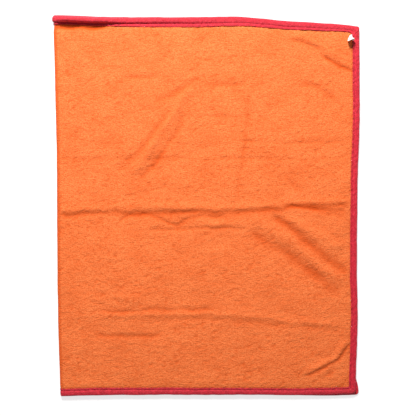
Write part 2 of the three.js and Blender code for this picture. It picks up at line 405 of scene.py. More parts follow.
def creases(x, y, chosen):
    """The sum of some of the creases."""
    total = np.zeros(x.shape)
    for height, half_width, points in chosen:
        low = np.min(points, axis=0) * MM - CREASE_REACH
        high = np.max(points, axis=0) * MM + CREASE_REACH
        near = (x > low[0]) & (x < high[0]) & (y > low[1]) & (y < high[1])
        total[near] += crease(x[near], y[near], height, half_width, points)
    return total


UPPER_RISE = 0.5 * MM  # the upper half lies this much higher than its ideal
CALM_EDGE = 30 * MM  # width along the edges where the waves and creases fade
BEND_FADE = 3 * MM
DEEP_VALLEY = 1.6 * MM  # depth at which a crease's painted shade is as dark as the fold's
PILE_ROW = (5 * MM, 3.6 * MM)  # size of the smallest hummocks, and of the gaps between them


def shown_relief(x, y):
    """Waves and creases of the upper half, which fade towards the towel's edge."""
    total = waves(x, y) + creases(x, y, CREASES) + UPPER_RISE
    from_edge = np.minimum(FAR_Y - np.abs(y), UPPER.end - x)
    return total * (0.15 + 0.85 * ease(from_edge / CALM_EDGE))


def parting(x, y, seed):
    """Where the pile is parted: 1 in the small gaps between its rows, 0 elsewhere."""
    gaps = fade(lumps(x, y, *PILE_ROW, seed), 0.25, 0.75)
    patches = 0.35 + 0.65 * ease(0.5 + 1.2 * lumps(x, y, 50 * MM, 34 * MM, seed + 1))
    return gaps * patches


def on_upper(s):
    """1 on the upper half, 0 on the lower, and a smooth change round the fold."""
    return ease(1 + s / BEND_LENGTH)


def on_bend(s):
    """1 round the fold, fading to 0 a little way onto both halves."""
    return ease((s + BEND_LENGTH + BEND_FADE) / BEND_FADE) * ease((BEND_FADE - s) / BEND_FADE)


def painted_shade_places(s, y):
    """How much painted shade the pile takes: deep in a crease or round the fold, and in the gaps of the pile.
    """
    valleys = [line for line in CREASES if line[0] < 0]
    depth = -creases(ideal_x(s), y, valleys) * on_upper(s) / DEEP_VALLEY
    return np.clip(depth + on_bend(s), 0, 1.5), parting(s, y, OUTWARD_PILE_SEED + 2)


def hummocks(x, y, seed):
    """The uneven lie of the pile: low hummocks that run across the cloth, and the odd parted place."""
    low = 0.28 * lumps(x, y, 9 * MM, 5.5 * MM, seed)
    low = low + 0.24 * lumps(x, y, *PILE_ROW, seed + 1)
    return (low - 0.45 * parting(x, y, seed + 2)) * MM


FREE_LIFT = 0.3 * MM  # lift of the outward face that the inward face doesn't follow


def outward_relief(s, y):
    """The relief of the outward face that cloth, tape and threads share."""
    x = ideal_x(s)
    pressed = -0.35 * np.abs(waves(x, -y))
    upper = on_upper(s)
    return upper * shown_relief(x, y) + (1 - upper) * pressed


def inward_relief(s, y):
    """The relief of the inward face: it follows what lifts the upper half, and is dented elsewhere."""
    x = ideal_x(s)
    follows = 0.7 * np.clip(shown_relief(x, y) - FREE_LIFT, 0, None)
    dented = 0.4 * np.abs(waves(-x, y))
    upper = on_upper(s)
    return upper * follows + (1 - upper) * dented


# From how far under the tape's own edge to how far inside it the pile comes up to its full height
PILE_COMES_UP = (-0.5 * MM, 2.4 * MM)
EDGE_DIP = 0.6 * MM  # how much lower the pile lies beside the tape
EDGE_DIP_WIDTH = 6 * MM


def cloth_height(s, y, margin, side):
    """Height of a face of the cloth, thin where the tape holds it. side is 1 outward and -1 inward."""
    full = fade(margin, *PILE_COMES_UP)
    dip = EDGE_DIP * bell(np.clip(margin, 0, None), EDGE_DIP_WIDTH)
    half = RIM + (PILE - dip - RIM) * full
    if side > 0:
        texture = hummocks(s, y, OUTWARD_PILE_SEED) * full * (1 - 0.6 * on_bend(s))
        return half + texture + outward_relief(s, y)
    texture = np.abs(hummocks(s, y, INWARD_PILE_SEED)) * full
    return -half + texture + inward_relief(s, y)


# ---- Meshes ----


def grid_normals(points, closed=False):
    """Unit normals of a grid of points. A closed grid joins up along its second direction."""
    across = np.gradient(points, axis=0)
    if closed:
        around = np.roll(points, -1, axis=1) - np.roll(points, 1, axis=1)
    else:
        around = np.gradient(points, axis=1)
    normals = np.cross(across, around)
    return normals / np.maximum(np.linalg.norm(normals, axis=-1, keepdims=True), 1e-12)


def make_piece(name, points, faces, weave, normals, slot, node, material, shade=None):
    """A closed mesh piece that stands for a node.

    weave is where each point lies in the material's own pattern, and shade how much painted shade it takes:
    deep in a crease or round the fold, and in the gaps of the pile.
    """
    mesh = bpy.data.meshes.new(name)
    mesh.from_pydata(points, [], faces, shade_flat=False)
    for attribute, values in (("weave", weave), ("shade", shade)):
        if values is not None:
            made = mesh.attributes.new(attribute, "FLOAT_VECTOR", "POINT")
            made.data.foreach_set("vector", np.ravel(values))
    fans = [(face[0], face[i], face[i + 1]) for face in faces for i in range(1, len(face) - 1)]
    triangles = np.array(fans)
    a, b, c = (points[triangles[:, k]] for k in range(3))
    if np.sum(a * np.cross(b, c)) < 0:
        mesh.flip_normals()
    own = np.empty(points.size)
    mesh.vertex_normals.foreach_get("vector", own)
    normals = normals * np.sign(np.sum(own.reshape(-1, 3) * normals))
    mesh.normals_split_custom_set_from_vertices(normals)
    mesh.materials.append(material)
    piece = bpy.data.objects.new(name, mesh)
    bpy.context.scene.collection.objects.link(piece)
    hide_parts(node)
    return piece


def quads(index):
    """Faces between neighbouring rows and columns of a grid of vertex numbers."""
    corners = (index[:-1, :-1], index[1:, :-1], index[1:, 1:], index[:-1, 1:])
    return np.stack([corner.ravel() for corner in corners], 1).tolist()


def slab(outer, inner):
    """Faces of a closed solid between a fine grid and one half as fine, numbered one after the other."""
    top = np.arange(outer[0] * outer[1]).reshape(outer)
    bottom = outer[0] * outer[1] + np.arange(inner[0] * inner[1]).reshape(inner)
    faces = quads(top) + [face[::-1] for face in quads(bottom)]
    borders = [
        (top[:, 0], bottom[:, 0], 1),
        (top[:, -1], bottom[:, -1], -1),
        (top[0], bottom[0], -1),
        (top[-1], bottom[-1], 1),
    ]
    for fine, coarse, order in borders:
        for k in range(len(coarse) - 1):
            wall = [coarse[k], coarse[k + 1], fine[2 * k + 2], fine[2 * k + 1], fine[2 * k]]
            faces.append([int(v) for v in wall[::order]])
    return faces


def tube(name, points, normals, weave, slot, node, material):
    """A closed piece from rings of points: rows of a grid that joins up along its second direction."""
    rows, around = points.shape[:2]
    index = np.arange(rows * around).reshape(rows, around)
    joined = np.concatenate([index, index[:, :1]], 1)
    faces = quads(joined) + [index[0].tolist(), index[-1][::-1].tolist()]
    points, weave, normals = (grid.reshape(-1, 3) for grid in (points, weave, normals))
    return make_piece(name, points, faces, weave, normals, slot, node, material)


# ---- Terry cloth ----

COLUMN = 3.8 * MM  # between columns of points, which run along the fold
ROW = 1.9 * MM
BEND_COLUMNS = 12
EDGE_STEPS = np.array([0, 1, 2.2, 3.6]) * MM  # rows of points that follow the tape's own edge
UNDER_STEPS = np.array([3, 6, 10]) * MM  # rows of points inside the tape, from the towel's edge
INWARD_PATTERN = np.array([0, 0.9, 0.4])  # shift that gives the inward face a pattern of its own


def cloth_columns(layer):
    """Distances along a half from the fold to the cloth's cut end."""
    inside = layer.end - END_TAPE - EDGE_STEPS[-1] - BEND_X
    count = 2 * round(inside / COLUMN / 2)
    body = np.linspace(0, inside, count + 1)
    edge = layer.end - BEND_X - END_TAPE - EDGE_STEPS[-2::-1]
    under = layer.end - BEND_X - UNDER_STEPS[::-1]
    return np.concatenate([body, edge, under])


def cloth_rows(x):
    """The y of the cloth's rows at each x. The rows nearest to the tape follow its edge."""
    near = tape_width("near", x)[:, None]
    far = tape_width("far", x)[:, None]
    under = UNDER_STEPS + 0 * near
    low = np.concatenate([under, near + EDGE_STEPS], 1) - FAR_Y
    high = FAR_Y - np.concatenate([under, far + EDGE_STEPS], 1)[:, ::-1]
    count = 2 * round((2 * FAR_Y - 2 * TAPE_WIDTH) / ROW / 2)
    step = np.linspace(0, 1, count + 1)[1:-1]
    body = low[:, -1:] + (high[:, :1] - low[:, -1:]) * step
    return np.concatenate([low, body, high], 1)


def make_cloth(material):
    """The towel's one sheet of terry in its three pieces: lower half, fold and upper half."""
    lower = -BEND_LENGTH - cloth_columns(LOWER)[::-1]
    bend = np.linspace(-BEND_LENGTH, 0, BEND_COLUMNS + 1)
    upper = cloth_columns(UPPER)
    s = np.concatenate([lower, bend[1:-1], upper])
    x = ideal_x(s)
    y = cloth_rows(x)
    s = s[:, None] + 0 * y
    x = x[:, None] + 0 * y
    margin = np.where(s > -BEND_LENGTH / 2, tape_margin(UPPER, x, y), tape_margin(LOWER, x, y))
    margin = np.maximum(margin, -TAPE_WIDTH)
    outer = place(s, y, cloth_height(s, y, margin, 1))
    inner = place(s, y, cloth_height(s, y, margin, -1))[::2, ::2]
    outer_normals = grid_normals(outer)
    inner_normals = -grid_normals(inner)
    # how much painted shade each point takes: in the creases and round the fold, and in the pile's gaps
    valley, parted = painted_shade_places(s, y)
    weave = np.stack([s, y, np.zeros_like(s)], -1)
    shade = np.stack([valley, parted, np.zeros_like(s)], -1)
    first = len(lower) - 1
    last = first + BEND_COLUMNS
    parts = {
        "lower": (0, first, "terry_lower_half"),
        "fold": (first, last, "terry_fold"),
        "upper": (last, len(s) - 1, "terry_upper_half"),
    }
    pieces = {}
    for name, (start, stop, node) in parts.items():
        fine = slice(start, stop + 1)
        coarse = slice(start // 2, stop // 2 + 1)
        faces = slab(outer[fine].shape[:2], inner[coarse].shape[:2])
        pairs = (
            (outer[fine], inner[coarse]),
            (weave[fine], weave[::2, ::2][coarse] + INWARD_PATTERN),
            (outer_normals[fine], inner_normals[coarse]),
            # painted shade: the inward face keeps only that of the pile's gaps
            (shade[fine], shade[::2, ::2][coarse] * np.array([0, 1, 0])),
        )
        points, pattern, normals, depth = (
            np.concatenate([grid.reshape(-1, 3) for grid in pair]) for pair in pairs
        )
        pieces[name] = make_piece(
            f"cloth_{name}", points, faces, pattern, normals, "terry", node, material, depth
        )
    return pieces


# ---- Binding tape ----

TAPE_STEP = 1.5 * MM
NOSE = {1: 5.5 * MM, -1: 2.6 * MM}  # how far the tape takes to round over on its outward and inward face

# Where the points of the tape's section lie, as shares of its width from the towel's edge: along the
# outward face, back along the inward one, and round the slot that the cloth sits in
OUTWARD_PLACES = [1, 1, 0.985, 0.95, 0.9, 0.86, 0.82, 0.785, 0.75, 0.715, 0.68, 0.62, 0.54, 0.45, 0.36]
OUTWARD_PLACES += [0.27, 0.19, 0.12, 0.07, 0.03, 0.008]
INWARD_PLACES = [0, 0.008, 0.03, 0.07, 0.14, 0.25, 0.4, 0.55, 0.68, 0.73, 0.78, 0.86, 0.95, 1, 1]
SLOT_PLACES = [0.6, 0.22, 0.16, 0.22, 0.6]
SLOT_HEIGHTS = np.array([-1, -0.95, 0, 0.95, 1])  # shares of half the slot's height

SEAM_GROOVE = 0.4 * MM  # depth of the seam's groove where the tape isn't swollen
GROOVE_WIDTH = 1.2 * MM
PUCKER_FADE = 3 * MM  # width along the towel's edge where the puckers fade
FLANGE_FADE = 2 * MM  # width beside the seam where the tape's free flange rises
ROLL_LIMIT = 20 * MM  # how far the roll may stand over the pile on the upper half
CORNER_LAP = 0.7 * MM  # the far strip's end lies over the end strip at the corner
LAP_TURN = math.radians(40)  # part of the corner's turn where it comes to lie over it


def strip_layers(strip):
    """The layers that each length of a strip runs over: one length along a side, two across the ends."""
    return ([LOWER], [UPPER]) if strip == "end" else ([LOWER, UPPER],)


def strip_parts(strip, step, layers):
    """Rows of a strip, part by part: the layer, how far along it they lie, and their turn round its corner.

    Round the fold there is no layer, and how far along is s.
    """
    if strip == "end":
        return [(layers[0], np.linspace(-1, 1, round(2 * FAR_Y / step)), None)]
    straight = np.linspace(0, 1, round((LOWER.end - BEND_X) / step))
    corner = np.linspace(90, 0, max(6, round(9 * MM / step)))[1:]
    along = np.concatenate([straight, np.ones(len(corner))])
    turn = np.radians(np.concatenate([np.full(len(straight), 90), corner]))
    fold = np.linspace(-BEND_LENGTH, 0, BEND_COLUMNS + 1)[1:-1]
    return [(LOWER, along[::-1], turn[::-1]), (None, fold, None), (UPPER, along, turn)]


def strip_pieces(parts):
    """Name and rows of each piece of a strip. The fold's piece shares a row with each half."""
    stop = 0
    for layer, along, _ in parts:
        start = stop
        stop = start + len(along)
        if layer is None:
            yield "fold", slice(start - 1, stop + 1)
        else:
            yield layer.name, slice(start, stop)


def strip_x(strip, part):
    """The ideal x of each of a strip's rows."""
    layer, along, _ = part
    if layer is None:
        return np.full(len(along), BEND_X)
    if strip == "end":
        return layer.end - END_TAPE + 0 * along
    return BEND_X + along * (layer.end - BEND_X)


def strip_puff(strip, layer, x, s):
    """How far the cloth inside swells the tape's outward face."""
    if strip == "far":
        return far_puff(x[:, None] / MM) * MM * on_upper(s)
    if strip == "near" or layer is UPPER:
        return EVEN_PUFF * MM * on_upper(s)
    return np.zeros_like(s)


def strip_points(strip, part, inset):
    """Cloth coordinates of a strip's rows at insets from the towel's edge, given row by row."""
    layer, along, turn = part
    if layer is None:
        y = FAR_Y - inset
        return along[:, None] + 0 * inset, y if strip == "far" else -y
    if strip == "end":
        _, far_y, _ = corner_centre(layer, "far", inset)
        _, near_y, _ = corner_centre(layer, "near", inset)
        y = np.where(along[:, None] > 0, far_y, near_y) * along[:, None]
        return along_cloth(layer, layer.end - inset + 0 * y), y
    centre_x, centre_y, radius = corner_centre(layer, strip, inset)
    x = BEND_X + along[:, None] * (centre_x - BEND_X) + radius * np.cos(turn[:, None])
    y = centre_y + radius * np.sin(turn[:, None])
    return along_cloth(layer, x), y if strip == "far" else -y


def tape_section(inset, seam, puff, run, seed, side):
    """Height of a face of the tape over the cloth's middle, with its roll, seam groove and puckers."""
    round_over = np.sqrt(1 - (1 - np.clip(inset / NOSE[side], 0, 1)) ** 2)
    roll = np.sqrt(1 - np.abs(2 * np.clip(inset / seam, 0, 1) ** 1.4 - 1) ** 2.4)
    stitched = 0.7 + 0.3 * np.cos(2 * math.pi * run / STITCH)
    groove = (SEAM_GROOVE + 0.28 * puff) * stitched * bell(inset - seam, GROOVE_WIDTH)
    drag = lumps(run + 0.7 * inset, 0.35 * inset, 4.2 * MM, 4.5 * MM, seed)
    drag += 0.7 * lumps(run - 0.8 * inset, 0.35 * inset, 5.5 * MM, 6 * MM, seed + 1)
    wavy = 0.6 + 0.6 * lumps(run, inset, STITCH, 9 * MM, seed + 2)
    flange = ease((inset - seam) / FLANGE_FADE) * wavy
    puckers = (0.34 * drag * np.clip(inset / PUCKER_FADE, 0, 1) + flange) * MM
    return (RIM + TAPE_PLY) * round_over + puff * roll - groove + puckers


def tape_grid(strip, part):
    """Rings of points round the tape's section, row by row, with the pattern's own coordinates."""
    layer, _, turn = part
    x = strip_x(strip, part)
    places = np.array(OUTWARD_PLACES + INWARD_PLACES + SLOT_PLACES)
    inset = places * tape_width(strip, x)[:, None]
    s, y = strip_points(strip, part, inset)
    run = y if strip == "end" else s
    seed = TAPE_SEED[strip]
    seam = seam_inset(strip, x)[:, None]
    puff = strip_puff(strip, layer, x, s)
    rolled = tape_section(inset, seam, puff, run, seed, 1)
    rolled = np.minimum(rolled, PILE + ROLL_LIMIT * on_upper(s))  # the table keeps the lower half flat
    flat = tape_section(inset, seam, 0 * puff, run, seed + INWARD_TAPE, -1)
    flat = np.minimum(flat, RIM + TAPE_PLY + SLIP)
    relief = outward_relief(s, y)
    follow = inward_relief(s, y)
    top = rolled + relief
    if turn is not None and strip == "far":
        top = top + CORNER_LAP * ease(1 - turn[:, None] / LAP_TURN)
    first_inward = len(OUTWARD_PLACES)
    first_slot = first_inward + len(INWARD_PLACES)
    h = np.where(np.arange(len(places)) < first_inward, top, follow - flat)
    slot = RIM + SLIP
    h[:, 0] = slot + relief[:, 0]
    h[:, first_slot - 1] = -slot + follow[:, first_slot - 1]
    h[:, first_slot:] = SLOT_HEIGHTS * slot + 0.5 * (relief + follow)[:, first_slot:]
    round_section = np.cumsum(np.abs(np.diff(inset, axis=1, prepend=inset[:, :1])), axis=1)
    weave = np.stack([run, round_section, np.zeros_like(s)], -1)
    return place(s, y, h), weave


def make_tape(strip, material):
    """One side's tape, as closed pieces of U section."""
    pieces = {}
    for layers in strip_layers(strip):
        parts = strip_parts(strip, TAPE_STEP, layers)
        grids = [tape_grid(strip, part) for part in parts]
        points = np.concatenate([grid[0] for grid in grids])
        weave = np.concatenate([grid[1] for grid in grids])
        normals = grid_normals(points, closed=True)
        for name, rows in strip_pieces(parts):
            grid = (points[rows], normals[rows], weave[rows])
            node = f"binding_{strip}_{name}"
            pieces[name] = tube(f"tape_{strip}_{name}", *grid, "tape", node, material)
    return pieces


# ---- Threads ----

THREAD_STEP = STITCH / 5
THREAD_SIDES = 6
THREAD_RADIUS = 0.45 * MM
LOOP_SWING = 0.5 * MM  # how far the looper thread swings to both sides of the seam


def thread_line(strip, part, side):
    """Middle line of a seam thread, the way up from it, how far along it is and how far from a needle hole.

    The needle thread (side 1) dips at each hole, and the looper thread (side -1) swings from side to side.
    """
    x = strip_x(strip, part)
    seam = seam_inset(strip, x)[:, None]
    s, y = strip_points(strip, part, seam)
    run = y if strip == "end" else s
    phase = 2 * math.pi * run / STITCH
    stitched = 0.5 - 0.5 * np.cos(phase)
    if side > 0:
        puff = strip_puff(strip, part[0], x, s)
        h = tape_section(seam, seam, puff, run, TAPE_SEED[strip], 1) + outward_relief(s, y)
        h = h + (0.5 * stitched - 0.45) * MM
    else:
        s, y = strip_points(strip, part, seam + LOOP_SWING * np.sin(phase))
        h = inward_relief(s, y) - RIM - TAPE_PLY + (0.6 - 0.15 * stitched) * MM
    centre = place(s, y, h)
    above = place(s, y, h + MM) - centre
    return centre[:, 0], above[:, 0], run[:, 0], stitched[:, 0]


def make_thread(strip, side, material):
    """A seam thread along one side of the towel, as round closed pieces."""
    pieces = {}
    kind = "needle" if side > 0 else "looper"
    for layers in strip_layers(strip):
        parts = strip_parts(strip, THREAD_STEP, layers)
        lines = [thread_line(strip, part, side) for part in parts]
        centre, above, run, stitched = (np.concatenate(column) for column in zip(*lines))
        forward = np.gradient(centre, axis=0)
        sideways = np.cross(above, forward)
        sideways /= np.linalg.norm(sideways, axis=1, keepdims=True)
        above /= np.linalg.norm(above, axis=1, keepdims=True)
        angle = np.linspace(0, 2 * math.pi, THREAD_SIDES, endpoint=False)
        normals = sideways[:, None] * np.cos(angle)[:, None] + above[:, None] * np.sin(angle)[:, None]
        radius = THREAD_RADIUS * (0.6 + 0.4 * stitched)
        points = centre[:, None] + normals * radius[:, None, None]
        weave = np.stack(np.broadcast_arrays(run[:, None], angle * THREAD_RADIUS, 0.0), -1)
        for name, rows in strip_pieces(parts):
            if name == "fold" and side < 0:
                continue  # inside the fold the looper thread lies buried
            grid = (points[rows], normals[rows], weave[rows])
            node = f"{kind}_thread_{strip}_{name}"
            pieces[name] = tube(f"{kind}_{strip}_{name}", *grid, "thread", node, material)
    return pieces


# ---- Care label ----

LABEL_WIDTH = 12 * MM
LABEL_PLY = 0.45 * MM
LABEL_ROOT = 5 * MM  # from the bend to the root's end under the tape
LABEL_FLAP = 18 * MM  # from the bend to the free end
LABEL_OVER_PILE = 0.3 * MM
FLAP_PATTERN = 6 * MM  # where the flap's pattern starts; the root's comes before it

# The flap's course in degrees, from its root (0) to its free end (1): it stands up, leans over and twists
label_pitch = through([(0, 88), (0.2, 76), (0.45, 34), (0.7, 8), (1, -8)])
label_heading = through([(0, 184), (0.3, 208), (1, 220)])
label_roll = through([(0, 0), (0.35, 38), (0.7, 64), (1, 80)])


def ribbon(name, centre, across, facing, weave_start, node, material):
    """A closed strip of ribbon along a line of points, with the directions across and out of it."""
    v = np.linspace(-0.5, 0.5, 9)[None, :, None] * LABEL_WIDTH
    face = centre[:, None] + across[:, None] * v
    normals = grid_normals(face)
    if np.sum(normals * facing[:, None]) < 0:
        normals = -normals
    top = face + normals * LABEL_PLY / 2
    bottom = (face - normals * LABEL_PLY / 2)[:, ::-1]
    run = np.concatenate([[0], np.cumsum(np.linalg.norm(np.diff(centre, axis=0), axis=1))]) + weave_start
    flat = np.stack(np.broadcast_arrays(run[:, None], v[0, :, 0][None], 0.0), -1)
    points = np.concatenate([top, bottom], 1)
    both = np.concatenate([normals, -normals[:, ::-1]], 1)
    return tube(name, points, both, np.concatenate([flat, flat[:, ::-1]], 1), "label", node, material)


def label_root_line():
    """Middle line of the label's root, from under the tape up onto the pile, and the way across it."""
    x = np.linspace(LABEL_X + LABEL_ROOT, LABEL_X, 11)
    y = np.full_like(x, LABEL_Y)
    s = along_cloth(UPPER, x)
    under = RIM + SLIP
    over = PILE + LABEL_OVER_PILE
    h = under + (over - under) * fade(x, UPPER.end - END_TAPE, LABEL_X) + outward_relief(s, y)
    line = place(s, y, h)
    side = place(s, y + MM, h) - line
    return line, side / np.linalg.norm(side, axis=1, keepdims=True)


def label_flap_line(rows=26):
    """Middle line of the flap from its root, and the directions across and out of it."""
    t = np.linspace(0, 1, rows)
    pitch = np.radians(label_pitch(t))
    heading = np.radians(label_heading(t))
    roll = np.radians(label_roll(t))[:, None]
    ahead = np.stack([np.cos(heading), np.sin(heading), np.zeros(rows)], 1)
    level = np.stack([np.sin(heading), -np.cos(heading), np.zeros(rows)], 1)
    up = np.array([0, 0, 1])
    forward = ahead * np.cos(pitch)[:, None] + up * np.sin(pitch)[:, None]
    outward = up * np.cos(pitch)[:, None] - ahead * np.sin(pitch)[:, None]
    across = level * np.cos(roll) - outward * np.sin(roll)
    step = LABEL_FLAP / (rows - 1)
    travel = np.concatenate([[[0, 0, 0]], np.cumsum((forward[1:] + forward[:-1]) / 2 * step, axis=0)])
    return travel, across, outward


def make_label(material):
    """The care label: a root sewn under the tape, and the flap that curls out over the cloth."""
    line, side = label_root_line()
    up = np.tile([0.0, 0.0, 1.0], (len(line), 1))
    root = ribbon("label_root", line, side, up, 0, "care_label_root", material)
    travel, across, outward = label_flap_line()
    middle = line[-1] + travel
    flap = ribbon("label_flap", middle, across, outward, FLAP_PATTERN, "care_label_flap", material)
    return root, flap


# ---- Materials ----


def new_material(name, roughness, sheen, sheen_tint, specular):
    """A cloth-like material. The caller links its colour and bump."""
    made = bpy.data.materials.new(name)
    made.use_nodes = True
    shader = made.node_tree.nodes["Principled BSDF"]
    shader.inputs["Roughness"].default_value = roughness
    shader.inputs["Sheen Weight"].default_value = sheen
    shader.inputs["Sheen Roughness"].default_value = 0.5
    shader.inputs["Sheen Tint"].default_value = sheen_tint
    shader.inputs["Specular IOR Level"].default_value = specular
    return made, made.node_tree, shader


def add_node(tree, kind, inputs=(), **settings):
    """Adds a shader node. inputs are (socket, value or other node's output) pairs."""
    node = tree.nodes.new(kind)
    for key, value in settings.items():
        setattr(node, key, value)
    for socket, value in inputs:
        if isinstance(value, bpy.types.NodeSocket):
            tree.links.new(value, node.inputs[socket])
        else:
            node.inputs[socket].default_value = value
    return node


def pattern_space(tree, cell, offset=(0, 0, 0)):
    """The piece's own pattern coordinates, with a unit to each side of a cell of that size in metres."""
    weave = add_node(tree, "ShaderNodeAttribute", attribute_name="weave").outputs["Vector"]
    pairs = [("Vector", weave), ("Scale", [1 / size for size in cell]), ("Location", offset)]
    return add_node(tree, "ShaderNodeMapping", pairs).outputs["Vector"]


def noise(tree, size_x, size_y, detail=2.0, offset=(0, 0, 0)):
    """Noise with features of that size in metres."""
    space = pattern_space(tree, (size_x, size_y, size_x), offset)
    pairs = [("Vector", space), ("Scale", 1.0), ("Detail", detail)]
    return add_node(tree, "ShaderNodeTexNoise", pairs).outputs["Fac"]


def bands(tree, size_x, size_y, scale, distortion, direction):
    """Soft bands across the pattern, which tell its ribs or twist."""
    space = pattern_space(tree, (size_x, size_y, 1))
    pairs = [("Vector", space), ("Scale", scale), ("Distortion", distortion)]
    return add_node(tree, "ShaderNodeTexWave", pairs, bands_direction=direction).outputs["Fac"]


def ramp(tree, value, low, high, to_low=0.0, to_high=1.0):
    """Maps a value between two limits smoothly onto two others."""
    limits = [("From Min", low), ("From Max", high), ("To Min", to_low), ("To Max", to_high)]
    pairs = [("Value", value), *limits]
    return add_node(tree, "ShaderNodeMapRange", pairs, interpolation_type="SMOOTHSTEP").outputs["Result"]


def combine(tree, operation, a, b):
    """One value from two."""
    return add_node(tree, "ShaderNodeMath", [(0, a), (1, b)], operation=operation).outputs[0]


def weighted_sum(tree, pairs):
    """The sum of values times their weights."""
    total = 0.0
    for value, weight in pairs:
        total = combine(tree, "ADD", total, combine(tree, "MULTIPLY", value, weight))
    return total


def mix_colour(tree, factor, a, b):
    """Colour a where the factor is 0, and b where it is 1."""
    node = tree.nodes.new("ShaderNodeMix")
    node.data_type = "RGBA"
    sockets = {socket.identifier: socket for socket in node.inputs}
    for key, value in (("Factor_Float", factor), ("A_Color", a), ("B_Color", b)):
        if isinstance(value, bpy.types.NodeSocket):
            tree.links.new(value, sockets[key])
        else:
            sockets[key].default_value = value
    return next(socket for socket in node.outputs if socket.identifier == "Result_Color")


def add_bump(tree, shader, height, distance, strength):
    """Fine relief that the shader takes from a height."""
    pairs = [("Height", height), ("Distance", distance), ("Strength", strength)]
    bump = add_node(tree, "ShaderNodeBump", pairs)
    tree.links.new(bump.outputs["Normal"], shader.inputs["Normal"])


TERRY_BASE = (0.78, 0.163, 0.043, 1)
# painted shade of the pile's gaps, flecks, streaks, creases and fold, and also the darker colour of broad
# random patches
TERRY_SHADE_AND_MOTTLE = (0.52, 0.056, 0.005, 1)
# lighter colour of the loops' tops, a painted highlight; also the sheen's tint
TERRY_TIP = (0.88, 0.236, 0.076, 1)
TAPE_BASE = (0.59, 0.012, 0.026, 1)
TAPE_DEEP = (0.40, 0.005, 0.012, 1)
# painted highlight on the tape's rib crests and fuzz
TAPE_PAINTED_HIGHLIGHT = (0.76, 0.045, 0.080, 1)
TAPE_SHEEN = (0.90, 0.30, 0.38, 1)
THREAD_BASE = (0.30, 0.010, 0.016, 1)
THREAD_LIGHT = (0.50, 0.025, 0.035, 1)
LABEL_BASE = (0.90, 0.89, 0.88, 1)
LABEL_DEEP = (0.66, 0.64, 0.63, 1)


def terry_material():
    """Orange terry: small loops and flecks where the pile parts, with a painted highlight on the loops' tops
    and painted shade between them, in the flecks and streaks, where the pile parts, and down in the creases
    and round the fold.
    """
    made, tree, shader = new_material("orange_terry", 0.95, 0.2, TERRY_TIP, 0.05)
    loop_space = pattern_space(tree, (1.3 * MM, 1.6 * MM, 1.3 * MM))
    loop_pairs = [("Vector", loop_space), ("Scale", 1.0)]
    loops = add_node(tree, "ShaderNodeTexVoronoi", loop_pairs).outputs["Distance"]
    fibres = noise(tree, 0.7 * MM, 0.9 * MM, 3)
    streaks = noise(tree, 6 * MM, 2.6 * MM, 4, (3, 1, 0))
    clumps = noise(tree, 2.7 * MM, 2.1 * MM, 3, (8, 1, 0))
    broad = noise(tree, 45 * MM, 30 * MM, 2, (5, 2, 0))
    shade = add_node(tree, "ShaderNodeAttribute", attribute_name="shade").outputs["Vector"]
    painted_shade_parts = add_node(tree, "ShaderNodeSeparateXYZ", [("Vector", shade)]).outputs
    # painted highlight on the loops' tops and painted shade between them, where the bump lies low
    pile = mix_colour(tree, ramp(tree, loops, 0.15, 0.75), TERRY_TIP, TERRY_BASE)
    # painted shade in the flecks and streaks of the pile, where the bump lies low
    flecked = mix_colour(tree, ramp(tree, clumps, 0.44, 0.68, 0.0, 0.5), pile, TERRY_SHADE_AND_MOTTLE)
    streaked = mix_colour(tree, ramp(tree, streaks, 0.5, 0.68, 0.0, 0.36), flecked, TERRY_SHADE_AND_MOTTLE)
    # painted shade where the pile parts, then down in the creases and round the fold
    parted = mix_colour(tree, combine(tree, "MULTIPLY", painted_shade_parts["Y"], 0.36), streaked, TERRY_SHADE_AND_MOTTLE)
    crease_shaded = mix_colour(tree, combine(tree, "MULTIPLY", painted_shade_parts["X"], 0.55), parted, TERRY_SHADE_AND_MOTTLE)
    tired = mix_colour(tree, ramp(tree, broad, 0.35, 0.7, 0.0, 0.2), crease_shaded, TERRY_SHADE_AND_MOTTLE)
    tree.links.new(tired, shader.inputs["Base Color"])
    height = weighted_sum(tree, [(fibres, 0.5), (loops, -0.6), (streaks, -1.5), (clumps, -1.2)])
    add_bump(tree, shader, height, 0.9 * MM, 0.75)
    return made


def tape_material():
    """Crimson knitted tape: fine ribs along it, and fuzz that catches the light, with a painted highlight on
    the ribs' crests and the fuzz.
    """
    made, tree, shader = new_material("crimson_tape", 0.6, 0.15, TAPE_SHEEN, 0.28)
    ribs = bands(tree, 3.5 * MM, 0.8 * MM, 0.31, 1.2, "Y")
    wobble = noise(tree, 2.5 * MM, 1.2 * MM, 3)
    patches = noise(tree, 7 * MM, 4 * MM, 3, (4, 0, 0))
    colour = mix_colour(tree, ramp(tree, patches, 0.35, 0.7), TAPE_DEEP, TAPE_BASE)
    # painted highlight on the ribs' crests
    lit = mix_colour(tree, ramp(tree, ribs, 0.5, 1.0, 0.0, 0.4), colour, TAPE_PAINTED_HIGHLIGHT)
    flecks = noise(tree, 2.6 * MM, 2.2 * MM, 3, (9, 2, 0))
    # painted highlight on the fuzz, where the bump rises
    flecked = mix_colour(tree, ramp(tree, flecks, 0.5, 0.68, 0.0, 0.6), lit, TAPE_PAINTED_HIGHLIGHT)
    tree.links.new(flecked, shader.inputs["Base Color"])
    height = weighted_sum(tree, [(ribs, 1.0), (wobble, 2.0), (flecks, 1.0)])
    add_bump(tree, shader, height, 0.35 * MM, 0.6)
    return made


